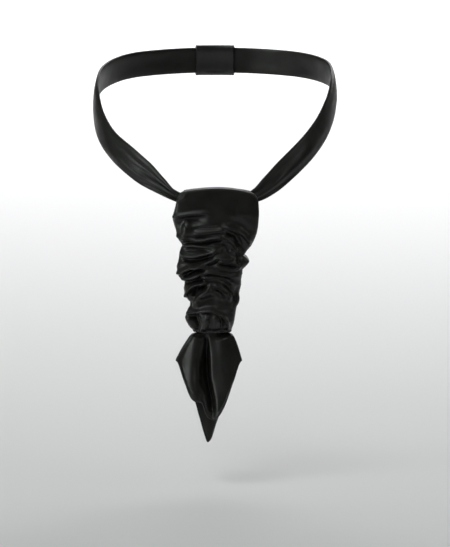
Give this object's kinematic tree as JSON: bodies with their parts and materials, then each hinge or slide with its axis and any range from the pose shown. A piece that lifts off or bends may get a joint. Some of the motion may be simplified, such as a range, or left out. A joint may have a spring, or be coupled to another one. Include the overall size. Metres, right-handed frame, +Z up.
{
  "type": "cravat",
  "caption": "Ready-tied black satin cravat: folded neck band, ruched knot, pleated front tail with a pointed hem, and a narrow under end",
  "frame": {"origin": "middle of the neck opening, level with the band at the sides of the neck", "axes": "+Z up along the neck, the knot and tails face -Y, +X is to the viewer's right"},
  "size_m": [0.134, 0.1618, 0.1985],
  "materials": {
    "satin": "woven black satin, faintly blue-green where it shines",
    "clasp_metal": "black enamel"
  },
  "bodies": {
    "root": {"knot": "satin", "neck_band": "satin", "front_tail": "satin", "under_tail": "satin", "back_clasp": "clasp_metal"}
  },
  "joints": []
}
